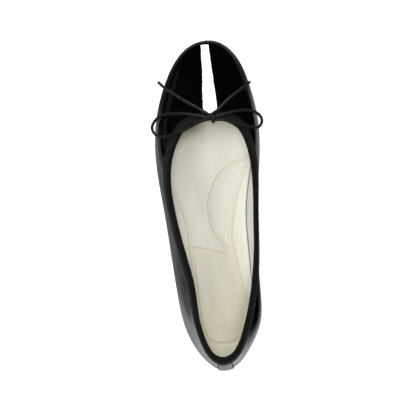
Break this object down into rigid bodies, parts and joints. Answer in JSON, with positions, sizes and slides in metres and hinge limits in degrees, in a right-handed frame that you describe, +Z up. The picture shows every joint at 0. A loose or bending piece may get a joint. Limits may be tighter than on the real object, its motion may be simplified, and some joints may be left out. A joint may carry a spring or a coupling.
{
  "type": "bow ballet flat",
  "caption": "Left ballet flat: low-cut hollow patent upper, ribbed binding round the collar, thin cord bow at the throat, padded cream insole, thin sole and low heel.",
  "frame": {"origin": "on the floor, at the middle of the shoe's length and width, the bow's cords left out", "axes": "+Y from the heel to the toe, +X to the inner (medial) side of the foot, +Z up"},
  "size_m": [0.0854, 0.25, 0.0611],
  "materials": {
    "patent_leather": "black patent, glossy clear coat",
    "ribbon": "black ribbed woven ribbon, matte",
    "sole_rubber": "dark, matte",
    "heel_rubber": "dark, matte",
    "cream_leather": "cream, soft matte, padded",
    "cord": "black round cord, satin"
  },
  "bodies": {
    "root": {"upper": "patent_leather", "topline_binding": "ribbon", "outsole": "sole_rubber", "heel": "heel_rubber", "insole": "cream_leather", "bow_knot": "cord", "bow_loop_lateral": "cord", "bow_loop_medial": "cord", "bow_end_lateral": "cord", "bow_end_medial": "cord"}
  },
  "joints": []
}
